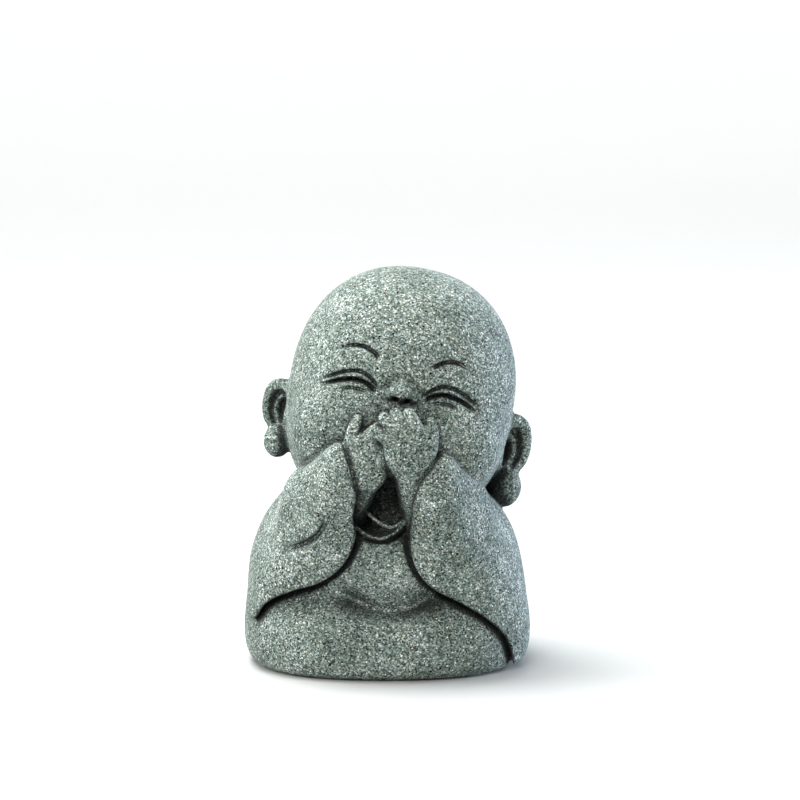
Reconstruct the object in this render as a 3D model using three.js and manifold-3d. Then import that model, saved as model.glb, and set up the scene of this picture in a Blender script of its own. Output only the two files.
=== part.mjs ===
// Little monk figurine that covers its mouth with both hands, cast as one solid piece.
// Millimetres, +Z up. The figure faces -Y, so +X is at the right of someone who looks it in the face.
// The origin is on the flat underside, below the middle of the robe.
import * as THREE from "three";
import { mergeVertices } from "three/addons/utils/BufferGeometryUtils.js";
import Module from "manifold-3d";

const wasm = await Module();
wasm.setup();

// ---------------------------------------------------------------- driving dimensions
const DEGREE = Math.PI / 180;
const FIGURE_HEIGHT = 42;
const ROBE_WIDTH = 30;
const WAIST_HEIGHT = 4.5; // the height at which the robe is widest
const HEAD_WIDTH = 24;
const HEAD_ROLL = 10.2 * DEGREE; // the head leans to +X
const CROWN_RISE = 13.2; // from the middle of the head to its top

// A form of the body is a superquadric: half-sizes along X and Y, and its own rise above the
// middle and drop below it. plan, up and down are exponents: 2 is round, more is squarer.
const TORSO = {
  middle: [0, 1.1, WAIST_HEIGHT],
  wide: ROBE_WIDTH / 2, deep: 13.3, rise: 18.5, drop: 6.5,
  plan: 2.3, up: 2.2, down: 3.2,
};
const LAP = {
  middle: [0, -2.3, WAIST_HEIGHT],
  wide: 14.5, deep: 11.7, rise: 5, drop: 6.4,
  plan: 2.3, up: 2.4, down: 3.2,
};
const BELLY = {
  middle: [-0.2, -5.2, 12],
  wide: 9.4, deep: 7.4, rise: 6, drop: 7.4,
  plan: 2, up: 2, down: 2,
};
const HEAD = {
  middle: [0, 0, 0],
  wide: HEAD_WIDTH / 2, deep: 12.6, rise: CROWN_RISE, drop: 13.8,
  plan: 2.15, up: 2.2, down: 2.6,
};
const HEAD_MIDDLE = [1.7, 0.6, FIGURE_HEIGHT - CROWN_RISE];

// ---------------------------------------------------------------- solids and booleans
// A closed three.js geometry as a solid. Only the positions are kept, so that seams merge.
function solid(geometry) {
  const bare = geometry.clone();
  bare.deleteAttribute("normal");
  bare.deleteAttribute("uv");
  const merged = mergeVertices(bare, 1e-4);
  const index = merged.index.array;
  const triVerts = [];
  for (let i = 0; i < index.length; i += 3) {
    const [a, b, c] = index.subarray(i, i + 3);
    if (a !== b && b !== c && c !== a) triVerts.push(a, b, c);
  }
  return new wasm.Manifold(
    new wasm.Mesh({
      numProp: 3,
      vertProperties: merged.attributes.position.array,
      triVerts: new Uint32Array(triVerts),
    }),
  );
}

const joined = (forms) => forms.reduce((whole, form) => whole.add(form));

function geometryOf(made) {
  const mesh = made.getMesh();
  const position = new THREE.BufferAttribute(new Float32Array(mesh.vertProperties), mesh.numProp);
  return new THREE.BufferGeometry()
    .setAttribute("position", position)
    .setIndex(new THREE.BufferAttribute(new Uint32Array(mesh.triVerts), 1))
    .toNonIndexed();
}

// ---------------------------------------------------------------- forms
// How far along a unit direction the superquadric's surface lies.
function reach(form, x, y, z) {
  const side = Math.abs(x / form.wide) ** form.plan + Math.abs(y / form.deep) ** form.plan;
  const power = z > 0 ? form.up : form.down;
  const height = Math.abs(z / (z > 0 ? form.rise : form.drop)) ** power;
  return (side ** (power / form.plan) + height) ** (-1 / power);
}

// A sphere whose points are moved out to the superquadric's surface.
function roundForm(form, around, rings) {
  const geometry = new THREE.SphereGeometry(1, around, rings).rotateX(Math.PI / 2);
  const point = geometry.attributes.position;
  for (let i = 0; i < point.count; i++) {
    const [x, y, z] = [point.getX(i), point.getY(i), point.getZ(i)];
    const r = reach(form, x, y, z);
    point.setXYZ(i, x * r, y * r, z * r);
  }
  return geometry.translate(...form.middle);
}

// A tapered limb with round ends: the two halves of a sphere, each with its own radius,
// moved apart to the two ends.
function limb(from, to, startRadius, endRadius, around = 12, rings = 8) {
  const start = new THREE.Vector3(...from);
  const along = new THREE.Vector3(...to).sub(start);
  const geometry = new THREE.SphereGeometry(1, around, rings);
  const point = geometry.attributes.position;
  for (let i = 0; i < point.count; i++) {
    const far = point.getY(i) > 1e-6;
    const r = far ? endRadius : startRadius;
    const shift = far ? along.length() : 0;
    point.setXYZ(i, point.getX(i) * r, point.getY(i) * r + shift, point.getZ(i) * r);
  }
  const turn = new THREE.Quaternion().setFromUnitVectors(
    new THREE.Vector3(0, 1, 0),
    along.clone().normalize(),
  );
  return geometry.applyQuaternion(turn).translate(...from);
}

// A rounded form stretched over several balls. The point that faces a direction is the mean of the
// balls' own points in that direction, and a ball counts for more the further out its point lies.
function stretchedOver(balls, around, rings) {
  const geometry = new THREE.SphereGeometry(1, around, rings).rotateX(Math.PI / 2);
  const point = geometry.attributes.position;
  const direction = new THREE.Vector3();
  for (let i = 0; i < point.count; i++) {
    direction.fromBufferAttribute(point, i);
    const out = balls.map(({ middle, radius }) => direction.dot(middle) + radius);
    const furthest = Math.max(...out);
    const weights = out.map((distance) => Math.exp(STRETCH * (distance - furthest)));
    const total = weights.reduce((sum, weight) => sum + weight);
    const place = new THREE.Vector3();
    balls.forEach(({ middle, radius }, k) => {
      place.addScaledVector(middle, weights[k] / total);
      place.addScaledVector(direction, (weights[k] / total) * radius);
    });
    point.setXYZ(i, ...place);
  }
  return geometry;
}

// A round bead of the given radius drawn along a smooth curve through the points.
function bead(points, radius, sides = 6, steps = 8) {
  const path = new THREE.CatmullRomCurve3(points.map((p) => new THREE.Vector3(...p)));
  const section = new THREE.Shape(
    Array.from({ length: sides }, (_, i) => {
      const angle = (2 * Math.PI * i) / sides;
      return new THREE.Vector2(radius * Math.cos(angle), radius * Math.sin(angle));
    }),
  );
  return new THREE.ExtrudeGeometry(section, { extrudePath: path, steps, bevelEnabled: false });
}

// ---------------------------------------------------------------- robe
// Each sleeve is stretched over the shoulder, the elbow and the wrist, and trimmed by its hem:
// a curve in X and Z, seen from the front, from the top of the wrist round to its tail.
// side is -1 at -X and 1 at +X. Balls are written for the +X side.
const STRETCH = 0.8; // per mm: more gives a tauter sleeve
const SLEEVES = [
  {
    side: -1,
    shoulder: { middle: [6.9, 0.5, 13.2], radius: 6.5 },
    elbow: { middle: [9.3, -4.9, 10], radius: 5.4 },
    crook: { middle: [5.2, -9, 14.6], radius: 3.7 },
    wrist: { middle: [5.3, -12.2, 22.7], radius: 2.3 },
    tail: { middle: [12, -5.5, 6.3], radius: 2.7 },
    hem: [[-3.9, 26], [-3.1, 20], [-2.8, 17], [-3.5, 13.9], [-5, 11.7], [-7, 10.2],
      [-9.5, 9.3], [-12, 8], [-13.6, 5.4]],
    tailOutside: [-19, 2],
  },
  {
    side: 1,
    shoulder: { middle: [6.9, 0.5, 13.2], radius: 6.5 },
    elbow: { middle: [9.3, -4.9, 9.2], radius: 5.4 },
    crook: { middle: [5.2, -9, 14], radius: 3.8 },
    wrist: { middle: [6.1, -12, 21.4], radius: 2.3 },
    tail: { middle: [12, -5.3, 3.2], radius: 2.8 },
    hem: [[5, 25], [3.7, 21.5], [2.6, 17.2], [2.6, 14.2], [3.4, 11.6], [5.2, 9.5],
      [7.9, 8], [10.5, 6.3], [12.6, 3.9], [13.5, -0.5]],
    tailOutside: [19, -1],
  },
];
const HEM_STEPS = 22;
const TRIM = { reach: 19, top: 30, front: 20, back: 9 }; // the block that a sleeve is trimmed from

function sleeve({ side, shoulder, elbow, crook, wrist, tail, hem, tailOutside }) {
  const balls = [shoulder, elbow, crook, wrist, tail].map(({ middle: [x, y, z], radius }) => ({
    middle: new THREE.Vector3(side * x, y, z),
    radius,
  }));
  const edge = new THREE.SplineCurve(hem.map((p) => new THREE.Vector2(...p)));
  const outline = new THREE.Shape([
    ...edge.getPoints(HEM_STEPS),
    new THREE.Vector2(...tailOutside),
    new THREE.Vector2(side * TRIM.reach, TRIM.top),
    new THREE.Vector2(hem[0][0] + side * 2, TRIM.top),
  ]);
  const block = new THREE.ExtrudeGeometry(outline, {
    depth: TRIM.front + TRIM.back,
    bevelEnabled: false,
  });
  block.rotateX(Math.PI / 2).translate(0, TRIM.back, 0);
  return solid(stretchedOver(balls, 32, 24)).intersect(solid(block));
}

function robe() {
  const forms = [solid(roundForm(TORSO, 40, 24)), solid(roundForm(LAP, 40, 22)),
    solid(roundForm(BELLY, 30, 20))];
  return joined([...forms, ...SLEEVES.map(sleeve)]);
}

// ---------------------------------------------------------------- head, in its own frame before the roll
// The point on the face in front of (u, w): u to +X and w up from the middle of the head.
function onFace(u, w, lift = 0) {
  const power = w > 0 ? HEAD.up : HEAD.down;
  const height = Math.abs(w / (w > 0 ? HEAD.rise : HEAD.drop)) ** power;
  const side = Math.abs(u / HEAD.wide) ** HEAD.plan;
  const share = Math.max(0, (1 - height) ** (HEAD.plan / power) - side);
  return [u, -HEAD.deep * share ** (1 / HEAD.plan) - lift, w];
}

const EYE_LINE = 2; // height of the eyes above the middle of the head
// Arcs carved in the face. Each runs from inner to outer (distance from the middle line), starts and
// ends at the given heights above the eye line, and crowns by rise between them.
const FACE_ARCS = [
  { name: "brow", inner: 3.2, outer: 7.1, start: 3.1, end: 2.8, rise: 0.9, radius: 0.28 },
  { name: "lid fold", inner: 2.6, outer: 8.6, start: -0.2, end: -0.7, rise: 1.6, radius: 0.25 },
  { name: "eye slit", inner: 2.7, outer: 8, start: -0.5, end: -0.8, rise: 0.95, radius: 0.35 },
];

function faceArc({ inner, outer, start, end, rise, radius }, side) {
  const points = [0, 0.17, 0.33, 0.5, 0.67, 0.83, 1].map((t) => {
    const u = side * THREE.MathUtils.lerp(inner, outer, t);
    const w = EYE_LINE + THREE.MathUtils.lerp(start, end, t) + rise * 4 * t * (1 - t);
    return onFace(u, w);
  });
  return solid(bead(points, radius));
}

const NOSE = { u: -0.2, w: EYE_LINE - 0.6 };

function nose() {
  const { u: middle, w } = NOSE;
  const ball = (radii, u, height, lift) =>
    solid(new THREE.SphereGeometry(1, 12, 8).scale(...radii).translate(...onFace(u, height, lift)));
  const button = ball([1.6, 1.5, 1.2], middle, w, -0.2);
  const wings = [-1, 1].map((side) => ball([0.8, 0.8, 0.7], middle + side * 1.1, w - 0.3, -0.1));
  const nostrils = [-1, 1].map((side) => ball([0.3, 0.6, 0.3], middle + side * 0.6, w - 1, 0.9));
  return joined([button, ...wings]).subtract(joined(nostrils));
}

// An ear stands out from the side of the head: a shell with a rolled rim, and a heavy round lobe.
const EAR = { out: 12.2, back: 0.4, low: -4.6, splay: 40 * DEGREE };

function ear(side) {
  const shell = new THREE.SphereGeometry(1, 14, 8).scale(3, 1.3, 4);
  const rim = new THREE.TorusGeometry(1, 0.27, 6, 16).scale(2.5, 3.5, 3).rotateX(Math.PI / 2);
  const lobe = new THREE.SphereGeometry(1, 14, 10).scale(2.2, 1.9, 2).translate(0.2, 0, -3.4);
  const hollow = new THREE.SphereGeometry(1, 12, 8).scale(1.8, 1, 2.6).translate(0, -1.2, 0.6);
  const place = new THREE.Matrix4()
    .makeTranslation(side * EAR.out, EAR.back, EAR.low)
    .multiply(new THREE.Matrix4().makeRotationZ(side * EAR.splay));
  const placed = (geometry) => solid(geometry.applyMatrix4(place));
  return placed(shell).add(placed(rim)).subtract(placed(hollow)).add(placed(lobe));
}

function head() {
  const sides = [-1, 1];
  const skull = joined([solid(roundForm(HEAD, 36, 26)), nose(), ...sides.map(ear)]);
  const carving = sides.flatMap((side) => FACE_ARCS.map((arc) => faceArc(arc, side)));
  return skull
    .subtract(joined(carving))
    .rotate([0, HEAD_ROLL / DEGREE, 0])
    .translate(HEAD_MIDDLE);
}

// ---------------------------------------------------------------- hands
const FINGER_RADIUS = { base: 0.85, tip: 0.68 };

// The hand of the +X arm lies on top. Its fingers fan up and to -X, little finger first, thumb last.
const UPPER_HAND = {
  palm: { middle: [2.5, -13.1, 24.9], wide: 3.1, deep: 1.6, rise: 2.5, drop: 3.2,
    plan: 2.6, up: 2.6, down: 2.2 },
  fingers: [
    [[1, -13.5, 25.4], [-0.9, -13.4, 26.8]],
    [[1.3, -13.8, 26], [0.1, -13.7, 28]],
    [[2, -13.8, 26.2], [1.2, -13.8, 28.4]],
    [[3.1, -13.7, 26.2], [2.4, -13.8, 28.4]],
    [[4.6, -13, 25], [4.7, -12.7, 27.5]],
  ],
  wrist: [3, -12.3, 22.4],
  inSleeve: [5.4, -8.6, 15.5],
};
// The hand of the -X arm lies under it. Its thumb and the root of its first finger show.
const LOWER_HAND = {
  palm: { middle: [-1.4, -12.5, 24.3], wide: 2.8, deep: 1.5, rise: 2.7, drop: 3.2,
    plan: 2.4, up: 2.4, down: 2.2 },
  fingers: [
    [[-3.3, -12.6, 25], [-2.8, -12.8, 27.7]],
    [[-1.6, -12.8, 26], [0.2, -12.6, 27.2]],
  ],
  wrist: [-2.3, -11.9, 22.3],
  inSleeve: [-5.4, -8.6, 15.5],
};
const FOREARM_RADIUS = { wrist: 1.8, inSleeve: 2.2 };

function hand({ palm, fingers, wrist, inSleeve }) {
  const fingerForms = fingers.map(([base, tip]) =>
    solid(limb(base, tip, FINGER_RADIUS.base, FINGER_RADIUS.tip, 10, 6)));
  const { wrist: thin, inSleeve: thick } = FOREARM_RADIUS;
  const forearm = solid(limb(wrist, inSleeve, thin, thick, 14, 8));
  return joined([solid(roundForm(palm, 16, 10)), forearm, ...fingerForms]);
}

// ---------------------------------------------------------------- the figure
function figure() {
  const whole = joined([robe(), head(), hand(LOWER_HAND), hand(UPPER_HAND)]);
  const above = new THREE.BoxGeometry(60, 60, 60).translate(0, 0, 30);
  return whole.intersect(solid(above));
}

const stone = new THREE.MeshStandardMaterial({
  color: 0x8d9a94,
  roughness: 0.9,
  metalness: 0,
});

const monk = new THREE.Mesh(geometryOf(figure()), stone);
monk.name = "monk_figure";

const part = new THREE.Group();
part.add(monk);
export default part;
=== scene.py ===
"""Little monk figurine in cast stone powder, both hands over its mouth.

The figure is one closed skin. Every part of it is a field: a number at each point of space, below
zero inside the stone and above zero outside, in millimetres from the surface. Fields are joined,
cut and carved, and the skin is drawn where the finished field is zero.
Fields work in millimetres; meshes, lights and the camera are in metres.
+Z is up and the figure faces -Y.
"""
import math

import bpy
import numpy as np
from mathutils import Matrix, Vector


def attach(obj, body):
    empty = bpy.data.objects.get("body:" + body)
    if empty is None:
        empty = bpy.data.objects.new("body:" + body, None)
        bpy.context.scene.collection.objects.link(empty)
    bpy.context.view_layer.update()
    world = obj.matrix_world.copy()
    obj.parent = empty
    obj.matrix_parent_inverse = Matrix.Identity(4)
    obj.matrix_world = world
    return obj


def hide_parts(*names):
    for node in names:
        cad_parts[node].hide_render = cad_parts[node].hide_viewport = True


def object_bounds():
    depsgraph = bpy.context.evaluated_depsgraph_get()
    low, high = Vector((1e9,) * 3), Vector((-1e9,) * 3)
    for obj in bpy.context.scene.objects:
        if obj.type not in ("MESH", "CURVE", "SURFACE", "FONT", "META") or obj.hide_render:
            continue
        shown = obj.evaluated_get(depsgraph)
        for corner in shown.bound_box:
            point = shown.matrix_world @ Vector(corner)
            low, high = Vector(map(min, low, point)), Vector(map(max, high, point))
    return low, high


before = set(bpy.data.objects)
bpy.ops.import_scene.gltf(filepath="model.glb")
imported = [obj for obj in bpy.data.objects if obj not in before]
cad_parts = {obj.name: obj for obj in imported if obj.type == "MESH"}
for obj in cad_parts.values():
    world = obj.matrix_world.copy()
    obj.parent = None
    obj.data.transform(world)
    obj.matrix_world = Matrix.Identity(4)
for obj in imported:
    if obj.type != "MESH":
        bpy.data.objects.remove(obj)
cad_low, cad_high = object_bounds()

MM = 0.001
FIGURE_HEIGHT = cad_high.z / MM
WAIST_HEIGHT = 3.8
CROWN_RISE = 13.2
HEAD_ROLL = math.radians(10.2)
HEAD_MIDDLE = (1.7, 0.6, FIGURE_HEIGHT - CROWN_RISE)


# ---------------------------------------------------------------- joining and cutting fields
def join(a, b, fillet):
    """The lower of two fields, lowered where they are nearly equal: a fillet of the given size."""
    blend = np.maximum(fillet - np.abs(a - b), 0) / fillet
    return np.minimum(a, b) - blend * blend * fillet / 4


def meet(a, b, rounding):
    """What is inside both fields, with its edge rounded."""
    return -join(-a, -b, rounding)


def cut(a, b, rounding):
    """What is inside the first field and outside the second."""
    return meet(a, -b, rounding)


def soft_step(x, start, end):
    """0 up to start, 1 from end on, and an S between them."""
    t = np.clip((x - start) / (end - start), 0, 1)
    return t * t * (3 - 2 * t)


# ---------------------------------------------------------------- basic fields
def round_form(p, middle, wide, deep, rise, drop, plan, up, down):
    """A superquadric. Each point is measured against half-sizes along X, Y and Z, and the sum of
    their powers says how far out it lies. The field is the distance to the surface along the ray
    from the middle."""
    q = p - np.array(middle)
    height = np.where(q[:, 2] > 0, rise, drop)
    power = np.where(q[:, 2] > 0, up, down)
    side = np.abs(q[:, 0] / wide) ** plan + np.abs(q[:, 1] / deep) ** plan
    out = (side ** (power / plan) + np.abs(q[:, 2] / height) ** power) ** (1 / power)
    out = np.maximum(out, 1e-3)
    return np.linalg.norm(q, axis=1) * (1 - 1 / out)


def ball(p, middle, radii):
    """An ellipsoid: how far out the point lies, times the distance that one step out is worth."""
    q = (p - np.array(middle)) / np.array(radii)
    out = np.linalg.norm(q, axis=1)
    slope = np.linalg.norm(q / np.array(radii), axis=1) + 1e-9
    return out * (out - 1) / slope


def limb(p, start, end, start_radius, end_radius):
    """A round cone: two balls and the cone that touches both. The point is measured along and
    across the axis, and the nearer of first ball, second ball and cone gives its distance."""
    a = np.array(start, float)
    axis = np.array(end, float) - a
    length = np.linalg.norm(axis)
    axis /= length
    q = p - a
    along = q @ axis
    across = np.sqrt(np.maximum(np.einsum("ij,ij->i", q, q) - along ** 2, 0))
    sine = (start_radius - end_radius) / length
    cosine = math.sqrt(1 - sine * sine)
    on_cone = np.clip((along - across * sine / cosine) / length, 0, 1)
    radius = start_radius + (end_radius - start_radius) * on_cone
    return np.hypot(across, along - on_cone * length) - radius


def smooth_curve(points, steps):
    """Points along a Catmull-Rom curve: each stretch is a cubic whose slope at a knot is half the
    way from the knot before it to the knot after it."""
    knots = np.array(points, float)
    knots = np.vstack([2 * knots[0] - knots[1], knots, 2 * knots[-1] - knots[-2]])
    t = np.linspace(0, 1, steps, endpoint=False)[:, None]
    a, b, c, d = knots[:-3, None], knots[1:-2, None], knots[2:-1, None], knots[3:, None]
    cubic = b + t * (c - a) / 2 + t ** 2 * (a - 2.5 * b + 2 * c - d / 2)
    cubic = cubic + t ** 3 * (1.5 * (b - c) + (d - a) / 2)
    return np.vstack([cubic.reshape(-1, knots.shape[1]), knots[-2]])


def cord(p, points, radii, steps=4):
    """A round bar along a smooth curve: distance to the nearest stretch, less the radius there."""
    path = smooth_curve([(*point, radius) for point, radius in zip(points, radii)], steps)
    nearest = np.full(len(p), 1e3)
    for start, end in zip(path[:-1], path[1:]):
        step = end[:3] - start[:3]
        along = np.clip((p - start[:3]) @ step / (step @ step), 0, 1)
        reach = np.linalg.norm(p - start[:3] - along[:, None] * step, axis=1)
        nearest = np.minimum(nearest, reach - start[3] - along * (end[3] - start[3]))
    return nearest


def along_line(x, z, points, steps=5):
    """For a smooth line in the X-Z plane: distance to it, on which side the point lies (1 to the
    left of its direction, -1 to the right) and how far along it, from 0 to 1."""
    path = smooth_curve(points, steps)
    nearest, side, share = (np.full(len(x), value) for value in (1e6, 1.0, 0.0))
    for k, (start, end) in enumerate(zip(path[:-1], path[1:])):
        step = end - start
        dx, dz = x - start[0], z - start[1]
        along = np.clip((dx * step[0] + dz * step[1]) / (step @ step), 0, 1)
        reach = (dx - along * step[0]) ** 2 + (dz - along * step[1]) ** 2
        closer = reach < nearest
        nearest = np.where(closer, reach, nearest)
        side = np.where(closer, np.sign(step[0] * dz - step[1] * dx), side)
        share = np.where(closer, (k + along) / (len(path) - 1), share)
    return np.sqrt(nearest), side, share


def groove(x, z, points, depth, width, taper=(0.25, 0.25)):
    """How much stone a carved line takes away: a rounded channel across, which fades in over the
    first share of its length and out over the last."""
    line, reach = np.array(points), 3 * width
    near = (x > line[:, 0].min() - reach) & (x < line[:, 0].max() + reach)
    near &= (z > line[:, 1].min() - reach) & (z < line[:, 1].max() + reach)
    taken = np.zeros(len(x))
    distance, _, share = along_line(x[near], z[near], points)
    strength = soft_step(share, 0, taper[0]) * soft_step(1 - share, 0, taper[1])
    taken[near] = depth * strength * np.exp(-(distance / width) ** 2)
    return taken


# ---------------------------------------------------------------- robe
TORSO = dict(middle=(-0.1, 1.1, WAIST_HEIGHT), wide=14.9, deep=13.3, rise=18.8, drop=6,
             plan=2.3, up=2.05, down=3)
LAP = dict(middle=(0, -2.3, WAIST_HEIGHT), wide=14.5, deep=11.7, rise=6, drop=6,
           plan=2.3, up=2.6, down=3)
BELLY = dict(middle=(-0.2, -5.4, 12), radii=(8.8, 7.5, 6.2))
BELLY_CREASE = [(0.3, 0.6), (1.05, 1.5)]  # depth and width of the sharp and of the soft hollow
BELLY_FOLD = [(-6.3, 10.2), (-4.6, 9.0), (-2.4, 7.7), (0.2, 7.1), (2.8, 7.5), (4.8, 8.7),
              (6.2, 9.9)]

# A sleeve is a double fan: round cones run from the shoulder ball and from the upper arm's ball to
# every point of the spine, which goes from the wrist down to the tail. All are given for the +X
# side as (point, radius). It ends at its hem, a line in X and Z from above the wrist to below the
# tail. The tail is the height at which the hem dies into the robe.
SLEEVES = [
    dict(
        side=-1,
        shoulder=(6.4, -1.4, 12.0, 5.4),
        upper_arm=(7.1, -8.3, 18.7, 2.2),
        spine=[(4.7, -12.9, 23.9, 0.5), (4.4, -12.3, 21.8, 1.7), (5.0, -11.4, 18.8, 2.4),
               (6.1, -9.3, 14.0, 3.2), (8.6, -6.5, 10.2, 3.7), (9.5, -5.2, 8.2, 3.3)],
        hem=[(-4.4, 34), (-4.4, 26), (-3.6, 22.4), (-3.0, 19.6), (-2.8, 17), (-3.5, 13.9),
             (-5, 11.7), (-7, 10.2), (-9.5, 9.3), (-12, 8), (-13.2, 6.5), (-13.6, 4.5),
             (-13.8, -6)],
        tail=5.2,
    ),
    dict(
        side=1,
        shoulder=(6.5, -1.4, 11.8, 5.4),
        upper_arm=(7.3, -8.4, 17.9, 2.1),
        spine=[(5.8, -12.5, 22.7, 0.5), (5.1, -12.1, 20.9, 1.7), (5.2, -11.5, 18.0, 2.4),
               (6.2, -9.3, 13.4, 3.3), (8.8, -6.2, 8.8, 3.6), (10.6, -3.9, 3.6, 3.1)],
        hem=[(6.4, 34), (6.2, 26), (4.9, 23.2), (3.5, 21.0), (2.7, 18.6), (2.5, 16), (2.7, 13.4),
             (3.6, 11.2), (5.2, 9.5), (7.9, 8), (10.5, 6.3), (12.6, 3.9), (13.5, 0), (14, -6)],
        tail=-2,
    ),
]
DRAPE = 0.6  # softness of the fold between two cones of a sleeve
CLOTH = 0.8  # how far the sleeve's cloth lies in front of the robe under it
SLEEVE_JOIN = dict(hem=0.15, more_inside=1.4)  # crisp at the hem, soft well inside the sleeve
HEM_CREASE = dict(depth=0.8, width=0.4, beside=0.1)  # carved into the robe beside the hem
SLEEVE_FOLDS = [
    dict(points=[(-5.9, 18.8), (-6.2, 17.0), (-7.0, 15.5), (-8.3, 14.5), (-9.9, 13.7), (-12, 12.5)],
         depth=0.7, width=0.35, taper=(0.3, 0.4)),
    dict(points=[(-5.0, 19.4), (-5.5, 17.0), (-6.8, 14.9)],
         depth=0.25, width=0.7, taper=(0.4, 0.4)),
    dict(points=[(5.2, 14.2), (6.2, 12.6), (7.9, 11.4), (9.5, 10.6), (12.0, 9.8)],
         depth=0.4, width=1.0, taper=(0.45, 0.45)),
]

BACK_FOLDS = [  # plain drapery from the shoulders down the back
    dict(points=[(9.5, 15.5), (6.5, 12.0), (2.0, 9.6), (-4.0, 8.4)],
         depth=0.7, width=0.8, taper=(0.3, 0.5)),
    dict(points=[(6.0, 17.5), (2.5, 14.6), (-2.0, 12.8), (-7.5, 12.2)],
         depth=0.65, width=0.75, taper=(0.3, 0.5)),
    dict(points=[(11.5, 11.0), (9.5, 7.0), (5.5, 4.2), (0.5, 3.2)],
         depth=0.65, width=0.8, taper=(0.3, 0.5)),
    dict(points=[(-10.5, 14.0), (-12.0, 9.0), (-12.0, 3.5)],
         depth=0.55, width=0.8, taper=(0.4, 0.4)),
]


def under_robe(p):
    """Torso, belly and crossed legs in one form."""
    torso = join(round_form(p, **TORSO), ball(p, **BELLY), 2.0)
    return join(torso, round_form(p, **LAP), 1.5)


def sleeve(p, over_robe, side, shoulder, upper_arm, spine, hem, tail):
    """Round cones in one soft drape, joined with the cloth over the robe and trimmed along the
    hem. The drape's field is a soft least: the exponents of the cones' fields are summed, and the
    logarithm of the sum is the field. Below the tail the sleeve sinks into the robe. Also how far
    outside the hem each point is, and how much of the sleeve is left at its height, from 0 to 1."""
    flip = np.array([side, 1, 1, 1])
    total = np.zeros(len(p))
    for start in (np.array(shoulder) * flip, np.array(upper_arm) * flip):
        for end in smooth_curve(np.array(spine) * flip, 2):
            cone = limb(p, start[:3], end[:3], start[3], end[3])
            total += np.exp(-np.clip(cone, -20, 20) / DRAPE)
    drape = -DRAPE * np.log(total)
    distance, turn, _ = along_line(p[:, 0], p[:, 2], hem)
    outside = -side * turn * distance
    alive = soft_step(p[:, 2], tail - 1, tail + 1)
    return meet(join(drape, over_robe, 3.0), outside, 0.5) + 1.0 - alive, outside, alive


def robe(p):
    """The under robe with a crease carved beside each hem, and the sleeves laid over it. The crease
    is a bell curve across and fades out at the robe's side. Folds are carved front and back."""
    x, y, z = p.T
    whole = under_robe(p)
    over_robe = under_robe(p + np.array([0, CLOTH, 0]))
    front = soft_step(-y, 0, 4)
    for depth, width in BELLY_CREASE:
        whole = whole + front * groove(x, z, BELLY_FOLD, depth, width)
    for spec in SLEEVES:
        near = (x * spec["side"] > 0.5) & (y < 9)
        cloth, outside, alive = sleeve(p[near], over_robe[near], **spec)
        carved = np.exp(-((outside - HEM_CREASE["beside"]) / HEM_CREASE["width"]) ** 2)
        strength = alive * front[near] * soft_step(-np.abs(x[near]), -13.9, -12.8)
        under = whole[near] + HEM_CREASE["depth"] * strength * carved
        inside = soft_step(-outside, 1.0, 4.5)
        whole[near] = join(under, cloth, SLEEVE_JOIN["hem"] + SLEEVE_JOIN["more_inside"] * inside)
    for fold in SLEEVE_FOLDS:
        whole = whole + front * groove(x, z, **fold)
    behind = soft_step(y, 1, 6)
    for fold in BACK_FOLDS:
        whole = whole + behind * groove(x, z, **fold)
    return whole


# ---------------------------------------------------------------- head, before its roll
HEAD = dict(middle=(0, 0, 0), wide=12, deep=12.6, rise=CROWN_RISE, drop=13.8,
            plan=2.15, up=2.2, down=2.6)
CHEEK = dict(middle=(5.9, -7.9, -4.2), radii=(4.6, 4.2, 4.4))
EYE_LINE = 1.45
NOSE = (-0.2, -12.3, EYE_LINE - 0.2)  # where it grows out of the face
# Lines of one eye, from its inner to its outer corner: distance from the middle of the face and
# height above the eye line. The lid stands up between its fold and the slit.
FACE_LINES = {
    "brow": dict(
        points=[(2.9, 2.8), (3.8, 3.45), (4.9, 3.75), (6.2, 3.5), (7.9, 2.5)],
        depth=0.7, width=0.2, taper=(0.1, 0.45)),
    "lid fold": dict(
        points=[(2.2, -0.6), (3.4, 0.7), (4.8, 1.2), (6.5, 0.7), (9.2, -1.0)],
        depth=0.55, width=0.18, taper=(0.1, 0.2)),
    "eye slit": dict(
        points=[(2.5, -0.7), (3.7, 0.1), (4.9, 0.33), (6.4, -0.05), (9.0, -1.35)],
        depth=1.1, width=0.21, taper=(0.15, 0.25)),
    "lower lid": dict(
        points=[(3.1, -0.85), (4.3, -0.62), (5.4, -0.64), (6.7, -1.05)],
        depth=0.4, width=0.16, taper=(0.3, 0.3)),
    "lid": dict(
        points=[(3.1, 0.0), (4.0, 0.55), (4.9, 0.76), (6.0, 0.45), (7.4, -0.3)],
        depth=-0.25, width=0.28, taper=(0.3, 0.3)),
}
EYE_SHIFT = 0.35  # how far the middle between the eyes lies to the -X side
EYES_CLOSER = 0.2  # how much nearer to that middle each eye lies than its lines say
# Each ear's place is given from the middle of the head, before its splay away from the skull.
EARS = [dict(side=-1, out=12.0, back=0.4, low=-5.0, size=0.8, lean=math.radians(-4)),
        dict(side=1, out=12.0, back=0.4, low=-5.2, size=0.97, lean=math.radians(8))]
EAR_SPLAY = math.radians(40)


def turned(first, second, angle):
    """Two coordinates of each point after a turn by an angle."""
    cosine, sine = math.cos(angle), math.sin(angle)
    return first * cosine + second * sine, second * cosine - first * sine


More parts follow.
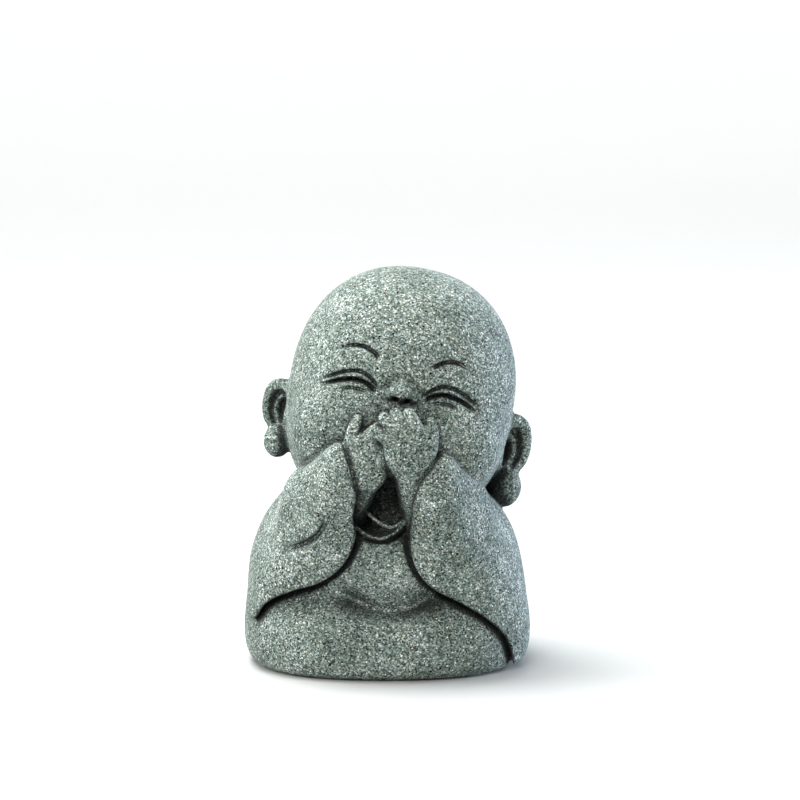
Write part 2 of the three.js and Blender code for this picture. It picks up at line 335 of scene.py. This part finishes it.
def with_nose(p, face):
    """A small button between two wings in a shallow moat, with a nostril cut under each side."""
    u, front, w = NOSE
    shape = ball(p, (u, front - 0.05, w + 0.1), (1.25, 1.25, 1.0))
    shape = join(shape, ball(p, (u, front + 0.6, w + 0.6), (0.8, 0.9, 0.8)), 0.6)
    for side in (-1, 1):
        shape = join(shape, ball(p, (u + side * 1.1, front + 0.1, w - 0.25), (0.66, 0.8, 0.6)), 0.3)
    moat = 0.22 * np.exp(-((shape - 0.3) / 0.35) ** 2)
    face = join(face + moat, shape, 0.2)
    for side in (-1, 1):
        face = cut(face, ball(p, (u + side * 0.6, front - 0.7, w - 0.68), (0.4, 1.4, 0.34)), 0.1)
    return face


def ear(p, side, out, back, low, size, lean):
    """A shell with a rolled rim, a hollow with a ridge in it, and a heavy lobe."""
    q = (p - np.array([side * out, back, low])) * np.array([side, 1, 1])
    x, y = turned(q[:, 0], q[:, 1], EAR_SPLAY)
    x, z = turned(x, q[:, 2], lean)
    q = np.stack([x, y, z], 1) / size
    shell = ball(q, (-0.6, 0.4, 1.2), (2.9, 1.1, 3.4))
    shell = join(shell, ball(q, (-0.8, 1.2, 0), (1.9, 1.2, 3.2)), 0.8)
    shell = cut(shell, ball(q, (-0.2, -1.1, 1.5), (1.9, 1.6, 2.4)), 0.3)
    rim_points = [(-2.2, -0.3, 2.0), (-1.5, -0.6, 3.7), (0.3, -0.7, 4.3), (1.8, -0.7, 3.5),
                  (2.4, -0.6, 1.6), (2.2, -0.5, -0.2), (1.4, -0.4, -1.4)]
    rim = cord(q, rim_points, (0.45, 0.65, 0.75, 0.78, 0.75, 0.68, 0.55))
    ridge_points = [(0.1, -0.3, 2.9), (0.8, -0.35, 1.7), (0.75, -0.3, 0.3), (0.0, -0.3, -0.9)]
    ridge = cord(q, ridge_points, (0.25, 0.42, 0.45, 0.4))
    lobe = ball(q, (0.2, -0.2, -3.3), (1.95, 1.8, 2.25))
    flap = ball(q, (-1.7, -0.6, 0.3), (0.6, 0.8, 1.1))
    whole = join(join(shell, rim, 0.15), ridge, 0.25)
    whole = join(join(whole, flap, 0.4), lobe, 0.5)
    return whole * size


def head(p):
    """Skull, cheeks, nose and ears, with the brows and the smiling eyes carved into the face."""
    q = p - np.array(HEAD_MIDDLE)
    x, z = turned(q[:, 0], q[:, 2], -HEAD_ROLL)
    q = np.stack([x, q[:, 1], z], 1)
    whole = round_form(q, **HEAD)
    for side in (-1, 1):
        (x, y, z), radii = CHEEK["middle"], CHEEK["radii"]
        whole = join(whole, ball(q, (side * x, y, z), radii), 3.0)
    near_face = (q[:, 1] < -4) & (np.abs(whole) < 3)
    face = q[near_face]
    carved = with_nose(face, whole[near_face])
    from_middle = np.abs(face[:, 0] + EYE_SHIFT) + EYES_CLOSER
    for line in FACE_LINES.values():
        carved = carved + groove(from_middle, face[:, 2] - EYE_LINE, **line)
    whole[near_face] = carved
    for spec in EARS:
        near_ear = (q[:, 0] * spec["side"] > 7) & (q[:, 2] < 2)
        whole[near_ear] = join(whole[near_ear], ear(q[near_ear], **spec), 0.6)
    return whole


# ---------------------------------------------------------------- hands
# Fingers run from knuckle to tip, little finger first and thumb last, as (point, radius) pairs.
UPPER_HAND = dict(
    palm=dict(middle=(2.45, -13.2, 24.9), wide=2.9, deep=1.6, rise=2.3, drop=3.2,
              plan=2.4, up=2.5, down=2.2),
    fingers=[
        [(1.2, -13.7, 25.0, 0.85), (0.0, -14.0, 25.9, 0.78), (-1.1, -13.7, 26.5, 0.7)],
        [(1.5, -13.9, 25.8, 0.85), (0.7, -14.3, 26.9, 0.75), (-0.1, -13.9, 27.8, 0.68)],
        [(2.3, -14.0, 26.2, 0.85), (1.65, -14.4, 27.4, 0.74), (1.05, -13.9, 28.25, 0.66)],
        [(3.4, -13.9, 26.0, 0.85), (2.95, -14.3, 27.3, 0.75), (2.4, -13.9, 28.25, 0.67)],
        [(4.4, -13.3, 24.6, 0.95), (4.75, -13.5, 25.9, 0.78), (4.65, -13.2, 27.2, 0.62)],
    ],
    forearm=[(2.6, -12.6, 23.0, 1.9), (3.1, -11.3, 20.2, 2.0), (4.4, -9.0, 15.5, 2.4)],
)
LOWER_HAND = dict(
    palm=dict(middle=(-2.0, -12.4, 23.8), wide=2.5, deep=1.65, rise=2.6, drop=3.6,
              plan=2.3, up=2.3, down=2.2),
    fingers=[
        [(-3.5, -12.6, 24.6, 0.9), (-3.35, -12.9, 26.2, 0.74), (-2.9, -12.8, 27.5, 0.6)],
        [(-2.2, -12.9, 25.2, 0.9), (-1.25, -13.3, 26.2, 0.8), (-0.2, -13.0, 26.9, 0.72)],
    ],
    forearm=[(-2.0, -12.1, 22.0, 1.8), (-2.7, -10.2, 19.6, 1.6), (-3.9, -7.2, 16.5, 1.8)],
)


def bar(p, points):
    """A round bar through points that carry their own radii."""
    return cord(p, [point[:3] for point in points], [point[3] for point in points], 3)


def hand(p, palm, fingers, forearm):
    """A palm that runs into the forearm, with the fingers laid on it side by side."""
    whole = join(round_form(p, **palm), bar(p, forearm), 1.2)
    spread = np.full(len(p), 1e3)
    for finger in fingers:
        spread = join(spread, bar(p, finger), 0.08)
    return join(whole, spread, 0.4)


# ---------------------------------------------------------------- the whole figure
NAPE_COLLAR = dict(width=2.2, depth=0.45, edge=0.3)  # a band round the nape with a carved edge
THROAT = dict(middle=(-0.5, -9.8, 17.8), radii=(3.5, 6.2, 3.6))  # the hollow between the arms
COLLAR_RADIUS = 0.22  # of the rolled edges
COLLAR = [  # the rolled edges of the crossed collars in that hollow
    [(-3.2, -10.6, 16.0), (-1.9, -11.1, 15.1), (-0.4, -11.3, 14.8), (1.1, -11.1, 15.5),
     (2.5, -10.6, 17.0)],
    [(-1.8, -10.2, 17.3), (-0.7, -10.5, 16.4), (0.6, -10.7, 15.9), (1.8, -10.5, 16.6)],
]


def figure(p):
    """Robe, head and hands joined, stood on a flat underside with a rounded edge. Each of them is
    worked out only where it can be near."""
    whole = np.full(len(p), 4.0)
    low_down = p[:, 2] < 28
    whole[low_down] = robe(p[low_down])
    high_up = p[:, 2] > 12
    skull = head(p[high_up])
    depth = soft_step(p[high_up, 1], 2, 6) * NAPE_COLLAR["depth"]
    carved = depth * np.exp(-((skull - NAPE_COLLAR["width"]) / NAPE_COLLAR["edge"]) ** 2)
    whole[high_up] = join(whole[high_up] + carved, skull, 0.35)
    near_hands = (p[:, 1] < -6) & (np.abs(p[:, 0]) < 8) & (p[:, 2] > 12)
    q = p[near_hands]
    front = cut(whole[near_hands], ball(q, **THROAT), 0.5)
    for edge in COLLAR:
        front = join(front, cord(q, edge, [COLLAR_RADIUS] * len(edge), 3), 0.4)
    front = join(front, hand(q, **LOWER_HAND), 0.2)
    whole[near_hands] = join(front, hand(q, **UPPER_HAND), 0.15)
    return meet(whole, -p[:, 2], 1.0)


# ---------------------------------------------------------------- from field to mesh
# Spacing of the lattice on plain stone, and where the face and the hands are.
PLAIN_STEP, FINE_STEP = ((0.24, 0.15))
FINE_BOX = [(-9, 11), (-16, -9.5), (22, 35)]
COARSE = 4  # lattice steps to one coarse step
TRIANGLE_LIMIT = 190_000


def in_chunks(field, points, size=200_000):
    """The field at many points, worked out a share at a time to save memory."""
    parts = [field(points[k:k + size]) for k in range(0, len(points), size)]
    return np.concatenate(parts)


def lattice_axis(low, high, fine_low, fine_high):
    """Places along one axis, closer together in the fine stretch: the number of steps up to a
    place is the running sum of one over the step, and the places are where it is a whole number."""
    x = np.linspace(low, high, 4001)
    fine = soft_step(x, fine_low - 1.5, fine_low) * soft_step(-x, -fine_high - 1.5, -fine_high)
    density = 1 / (PLAIN_STEP + (FINE_STEP - PLAIN_STEP) * fine)
    number = np.concatenate([[0], np.cumsum((density[1:] + density[:-1]) / 2 * np.diff(x))])
    steps = COARSE * math.ceil(number[-1] / COARSE)
    return np.interp(np.linspace(0, number[-1], steps + 1), number, x)


def lattice_values(field, axes):
    """The field on the lattice. It is worked out on every coarse point first; the fine points are
    worked out only in coarse cells near the surface, and the rest take a coarse corner's value."""
    coarse_axes = [axis[::COARSE] for axis in axes]
    nodes = np.stack(np.meshgrid(*coarse_axes, indexing="ij"), -1)
    coarse = in_chunks(field, nodes.reshape(-1, 3)).reshape(nodes.shape[:3])
    nx, ny, nz = (n - 1 for n in coarse.shape)
    corners = [coarse[i:i + nx, j:j + ny, k:k + nz] for i in (0, 1) for j in (0, 1) for k in (0, 1)]
    spans = np.meshgrid(*map(np.diff, coarse_axes), indexing="ij")
    across = np.sqrt(sum(span ** 2 for span in spans))
    near = np.min(np.abs(corners), axis=0) < 1.2 * across
    values = corners[0].repeat(COARSE, 0).repeat(COARSE, 1).repeat(COARSE, 2).astype(np.float32)
    fine = np.argwhere(near.repeat(COARSE, 0).repeat(COARSE, 1).repeat(COARSE, 2))
    places = np.stack([axis[column] for axis, column in zip(axes, fine.T)], 1)
    values[tuple(fine.T)] = in_chunks(field, places)
    return values


def surface_net(values, axes):
    """One vertex in each lattice cell that the surface crosses, at the mean of the crossings of the
    cell's edges, and one four-sided face round each lattice edge that it crosses."""
    inside = values < 0
    shape = np.array(values.shape) - 1
    corners = np.array([(i, j, k) for i in (0, 1) for j in (0, 1) for k in (0, 1)])
    count = sum(inside[i:i + shape[0], j:j + shape[1], k:k + shape[2]].astype(np.int8)
                for i, j, k in corners)
    cells = np.argwhere((count > 0) & (count < 8))
    number = np.full(shape, -1, np.int64)
    number[tuple(cells.T)] = np.arange(len(cells))
    total, crossings = np.zeros((len(cells), 3)), np.zeros((len(cells), 1))
    for a in corners:
        for axis in range(3):
            if a[axis]:
                continue
            b = a + np.eye(3, dtype=int)[axis]
            va, vb = values[tuple((cells + a).T)], values[tuple((cells + b).T)]
            crossed = ((va < 0) != (vb < 0))[:, None]
            share = va / np.where(va == vb, 1, va - vb)
            total += crossed * (a + share[:, None] * (b - a))
            crossings += crossed
    spots = cells + total / crossings
    vertices = np.stack([np.interp(spot, np.arange(len(axis)), axis)
                         for spot, axis in zip(spots.T, axes)], 1)
    faces = []
    for axis in range(3):
        first, second = np.eye(3, dtype=int)[(axis + 1) % 3], np.eye(3, dtype=int)[(axis + 2) % 3]
        here = np.moveaxis(inside, axis, 0)
        edges = np.argwhere(np.moveaxis(here[:-1] != here[1:], 0, axis))
        leaving = inside[tuple(edges.T)]
        ring = [number[tuple((edges - offset).T)]
                for offset in (first + second, second, 0 * first, first)]
        quads = np.stack(ring, 1)
        faces.append(np.where(leaving[:, None], quads, quads[:, ::-1]))
    return vertices, np.vstack(faces)


def settled(field, vertices, rounds=2, reach=0.03):
    """Each vertex moved along the field's slope to where the field is zero."""
    for _ in range(rounds):
        value = in_chunks(field, vertices)
        slope = np.stack([in_chunks(field, vertices + offset) - value
                          for offset in np.eye(3) * reach], 1) / reach
        length = np.maximum((slope ** 2).sum(1), 0.2)
        move = np.clip(value / length, -FINE_STEP, FINE_STEP)
        vertices = vertices - move[:, None] * slope
    return vertices


def mesh_piece(name, vertices, faces):
    """A smooth-shaded mesh object at the origin, with its place in its vertices. It is thinned to
    the limit."""
    mesh = bpy.data.meshes.new(name)
    mesh.from_pydata((vertices * MM).tolist(), [], faces.tolist())
    piece = bpy.data.objects.new(name, mesh)
    bpy.context.scene.collection.objects.link(piece)
    triangles = 2 * len(faces)
    if triangles > TRIANGLE_LIMIT:
        thin = piece.modifiers.new("thin", "DECIMATE")
        thin.ratio = TRIANGLE_LIMIT / triangles
        graph = bpy.context.evaluated_depsgraph_get()
        piece.data = bpy.data.meshes.new_from_object(piece.evaluated_get(graph))
        piece.modifiers.clear()
    piece.data.polygons.foreach_set("use_smooth", np.ones(len(piece.data.polygons), bool))
    return piece


def mark_hollows(piece, field, near=0.5, far=2.2, deep=6):
    """How shut in each vertex is, from 0 to 1, as the attribute "hollow". A step out along the
    normal should raise the field by the step's length; where it raises it less, other stone is
    close. A short step finds the carved lines, a longer one the wide hollows, and the longest the
    dark pit between the arms."""
    mesh = piece.data
    spots, normals = np.empty(3 * len(mesh.vertices)), np.empty(3 * len(mesh.vertices))
    mesh.vertices.foreach_get("co", spots)
    mesh.vertices.foreach_get("normal", normals)
    spots, normals = spots.reshape(-1, 3) / MM, normals.reshape(-1, 3)
    tight, wide, buried = (np.clip(1 - in_chunks(field, spots + normals * step) / step, 0, 1)
                           for step in (near, far, deep))
    # The weighted sum is painted shade: the stone's colour is darkened by it in carved lines,
    # creases and the pit between the arms.
    # A little is taken off, so that plain curves stay clean.
    shut = np.clip(0.9 * tight + 0.5 * wide + 1.6 * np.maximum(buried - 0.4, 0) - 0.08, 0, 1)
    mesh.attributes.new("hollow", "FLOAT", "POINT").data.foreach_set("value", shut)


axes = [lattice_axis(low / MM - 1, high / MM + 1, *fine)
        for low, high, fine in zip(cad_low, cad_high, FINE_BOX)]
vertices, faces = surface_net(lattice_values(figure, axes), axes)
monk = mesh_piece("monk_skin", settled(figure, vertices), faces)
mark_hollows(monk, figure)


# ---------------------------------------------------------------- materials
def linear(code):
    """An sRGB hex colour as linear red, green, blue and alpha."""
    shares = [int(code[k:k + 2], 16) / 255 for k in (1, 3, 5)]
    return (*[c / 12.92 if c <= 0.04045 else ((c + 0.055) / 1.055) ** 2.4 for c in shares], 1)


def add(tree, kind, inputs=(), stops=(), **settings):
    """A node with its settings. An input is a plain value or a (node, output) pair to link; a
    colour ramp takes its stops, from 0 to 1, as (position, hex colour)."""
    node = tree.nodes.new(kind)
    for key, value in settings.items():
        setattr(node, key, value)
    for key, value in dict(inputs).items():
        if isinstance(value, tuple) and isinstance(value[0], bpy.types.Node):
            tree.links.new(value[0].outputs[value[1]], node.inputs[key])
        else:
            node.inputs[key].default_value = value
    for position, _ in stops[1:-1]:
        node.color_ramp.elements.new(position)
    for index, (_, code) in enumerate(stops):
        node.color_ramp.elements[index].color = linear(code)
    return node


# The ground stone is finer than this, but finer grains would not show at this size.
GRAIN = 0.14 * MM
CHIP = 0.28 * MM  # spacing of the pale and dark chips
PIT = 0.6 * MM  # spacing of the pinholes left by air in the mould
DRIFT = 4 * MM  # slow change of tone


def cast_stone():
    """Grey-green stone powder set in a mould: matt and sandy, every grain its own shade, with pale
    and dark chips, pinholes, a tone that drifts slowly, and painted shade in the hollows."""
    material = bpy.data.materials.new("cast_stone_powder")
    material.use_nodes = True
    tree = material.node_tree
    tree.nodes.clear()
    spot = (add(tree, "ShaderNodeTexCoord"), "Object")
    grain = add(tree, "ShaderNodeTexVoronoi", {"Vector": spot, "Scale": 1 / GRAIN},
                distance="MANHATTAN")
    shade = add(tree, "ShaderNodeSeparateColor", {"Color": (grain, "Color")})
    drift = add(tree, "ShaderNodeTexNoise", {"Vector": spot, "Scale": 1 / DRIFT, "Detail": 6.0})
    chip = add(tree, "ShaderNodeTexVoronoi", {"Vector": spot, "Scale": 1 / CHIP},
               distance="MANHATTAN")
    chosen = add(tree, "ShaderNodeSeparateColor", {"Color": (chip, "Color")})
    chip_core = add(tree, "ShaderNodeMath", {0: (chip, "Distance"), 1: 0.5}, operation="LESS_THAN")
    pale = add(tree, "ShaderNodeMath", {0: (chosen, "Red"), 1: 0.88}, operation="GREATER_THAN")
    dark = add(tree, "ShaderNodeMath", {0: (chosen, "Red"), 1: 0.06}, operation="LESS_THAN")
    contrast = add(tree, "ShaderNodeMath", {0: (pale, 0), 1: (dark, 0)}, operation="SUBTRACT")
    chips = add(tree, "ShaderNodeMath", {0: (contrast, 0), 1: (chip_core, 0)}, operation="MULTIPLY")
    pit = add(tree, "ShaderNodeTexVoronoi", {"Vector": spot, "Scale": 1 / PIT})
    luck = add(tree, "ShaderNodeSeparateColor", {"Color": (pit, "Color")})
    # Some 6 cells in 10 have a bore below nothing, and so no pinhole.
    bore = add(tree, "ShaderNodeMath", {0: (luck, "Green"), 1: 0.6, 2: -0.35},
               operation="MULTIPLY_ADD")
    hole = add(tree, "ShaderNodeMath", {0: (pit, "Distance"), 1: (bore, 0)}, operation="LESS_THAN")
    # The shade of a spot: its own grain, moved by the drift, the chips and the pinholes.
    tone = add(tree, "ShaderNodeMath", {0: (drift, "Fac"), 1: 0.5, 2: (shade, "Red")},
               operation="MULTIPLY_ADD")
    tone = add(tree, "ShaderNodeMath", {0: (chips, 0), 1: 0.55, 2: (tone, 0)},
               operation="MULTIPLY_ADD")
    tone = add(tree, "ShaderNodeMath", {0: (hole, 0), 1: -1.0, 2: (tone, 0)},
               operation="MULTIPLY_ADD")
    tone = add(tree, "ShaderNodeMath", {0: (tone, 0), 1: 0.667}, operation="MULTIPLY")
    colour = add(tree, "ShaderNodeValToRGB", {"Fac": (tone, 0)}, stops=[
        (0, "#040605"), (0.19, "#232c29"), (0.34, "#4b5953"), (0.58, "#74847c"), (0.73, "#95a39c"),
        (0.84, "#cdd6d2"), (1, "#ffffff")])
    tint = add(tree, "ShaderNodeValToRGB", {"Fac": (shade, "Green")}, stops=[
        (0, "#ecf5ff"), (0.5, "#ffffff"), (1, "#fff0e4")])
    colour = add(tree, "ShaderNodeMix", {0: 1.0, 6: (colour, "Color"), 7: (tint, "Color")},
                 data_type="RGBA", blend_type="MULTIPLY")
    # Painted shade: the colour is mixed towards near black where the stone is shut in, in carved
    # lines, creases and the pit between the arms.
    hollow = add(tree, "ShaderNodeAttribute", attribute_name="hollow")
    painted_shade_share = add(tree, "ShaderNodeMath", {0: (hollow, "Fac"), 1: 0.9}, operation="MULTIPLY")
    with_painted_shade = add(tree, "ShaderNodeMix", {0: (painted_shade_share, 0), 6: (colour, 2), 7: linear("#0b0f10")},
                 data_type="RGBA")
    relief = add(tree, "ShaderNodeTexNoise", {"Vector": spot, "Scale": 0.7 / GRAIN, "Detail": 2.0})
    height = add(tree, "ShaderNodeMath", {0: (hole, 0), 1: -1.2, 2: (relief, "Fac")},
                 operation="MULTIPLY_ADD")
    bump = add(tree, "ShaderNodeBump", {"Height": (height, 0), "Strength": 0.6,
                                        "Distance": 0.05 * MM})
    surface = add(tree, "ShaderNodeBsdfPrincipled", {
        "Base Color": (with_painted_shade, 2), "Roughness": 0.85, "Specular IOR Level": 0.3,
        "Normal": (bump, "Normal")})
    add(tree, "ShaderNodeOutputMaterial", {"Surface": (surface, "BSDF")})
    return material


def studio_paper():
    """Uncoated background paper: matt and evenly pale, with no sheen."""
    material = bpy.data.materials.new("studio_paper")
    material.use_nodes = True
    shader = material.node_tree.nodes["Principled BSDF"]
    shader.inputs["Base Color"].default_value = linear("#bcbebd")
    shader.inputs["Roughness"].default_value = 0.9
    return material


monk.data.materials.append(cast_stone())
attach(monk, "root")
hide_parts("monk_figure")


# ---------------------------------------------------------------- studio
def paper_sweep(width=3.0, front=-1.5, bend=0.7, radius=0.7, top=1.8, steps=24):
    """A floor that curves up into a back wall: flat, then a quarter circle, then straight up."""
    turn = np.linspace(0, math.pi / 2, steps)
    y = np.concatenate([[front], bend + radius * np.sin(turn), [bend + radius]])
    z = np.concatenate([[0], radius * (1 - np.cos(turn)), [top]])
    line = np.stack([y, z], 1)
    sides = [np.column_stack([np.full(len(line), x), line]) for x in (-width, width)]
    n = len(line)
    index = np.arange(n - 1)
    quads = np.stack([index, index + n, index + n + 1, index + 1], 1)
    mesh = bpy.data.meshes.new("floor_sweep")
    mesh.from_pydata(np.vstack(sides).tolist(), [], quads.tolist())
    mesh.polygons.foreach_set("use_smooth", np.ones(len(quads), bool))
    floor = bpy.data.objects.new("floor_sweep", mesh)
    bpy.context.scene.collection.objects.link(floor)
    floor.data.materials.append(studio_paper())
    return floor


def softbox(name, place, size, power, colour, target=(0, 0, 0.022)):
    """A rectangular area light, wide and high as given, that faces the target."""
    light = bpy.data.lights.new(name, "AREA")
    light.shape = "RECTANGLE"
    light.size, light.size_y = size
    light.energy = power
    light.color = linear(colour)[:3]
    lamp = bpy.data.objects.new(name, light)
    lamp.location = place
    lamp.rotation_mode = "QUATERNION"
    lamp.rotation_quaternion = (Vector(target) - Vector(place)).to_track_quat("-Z", "Y")
    bpy.context.scene.collection.objects.link(lamp)


paper_sweep()
# Soft light from above and both sides, a weaker one from the front, and a strip for the back wall.
softbox("ceiling", (-0.4, 0.3, 1.6), (3.2, 3.2), 8, "#ffffff", target=(0, 0.4, 0))
softbox("overhead", (-0.12, 0.06, 0.46), (0.24, 0.24), 3.0, "#ffffff")
softbox("left_wall", (-0.42, 0.03, 0.16), (0.3, 0.24), 1.5, "#ffffff")
softbox("right_wall", (0.37, 0.18, 0.07), (0.24, 0.12), 2.4, "#dbe7ff")
softbox("key", (-0.06, -0.36, 0.24), (0.16, 0.16), 1.1, "#fffdf6")
softbox("backdrop", (0, 0.6, 1.1), (2.4, 0.4), 35, "#ffffff", target=(0, 1.5, 0.4))

world = bpy.data.worlds.new("studio")
world.use_nodes = True
world.node_tree.nodes["Background"].inputs["Color"].default_value = linear("#f4f6f8")
world.node_tree.nodes["Background"].inputs["Strength"].default_value = 0.08
bpy.context.scene.world = world
bpy.context.scene.view_settings.view_transform = "Standard"

# The camera looks a little down at the face. It aims above the figure's middle, so that the
# figure stands in the lower half of the view.
ELEVATION = math.radians(7.5)
DISTANCE = 0.435
AIM = Vector((0.0015, 0, 0.0279))
camera_data = bpy.data.cameras.new("camera")
camera_data.lens = 184
camera = bpy.data.objects.new("camera", camera_data)
back = Vector((0, -math.cos(ELEVATION), math.sin(ELEVATION)))
camera.location = AIM + back * DISTANCE
camera.rotation_mode = "QUATERNION"
camera.rotation_quaternion = (-back).to_track_quat("-Z", "Y")
bpy.context.scene.collection.objects.link(camera)
bpy.context.scene.camera = camera

bpy.context.view_layer.update()
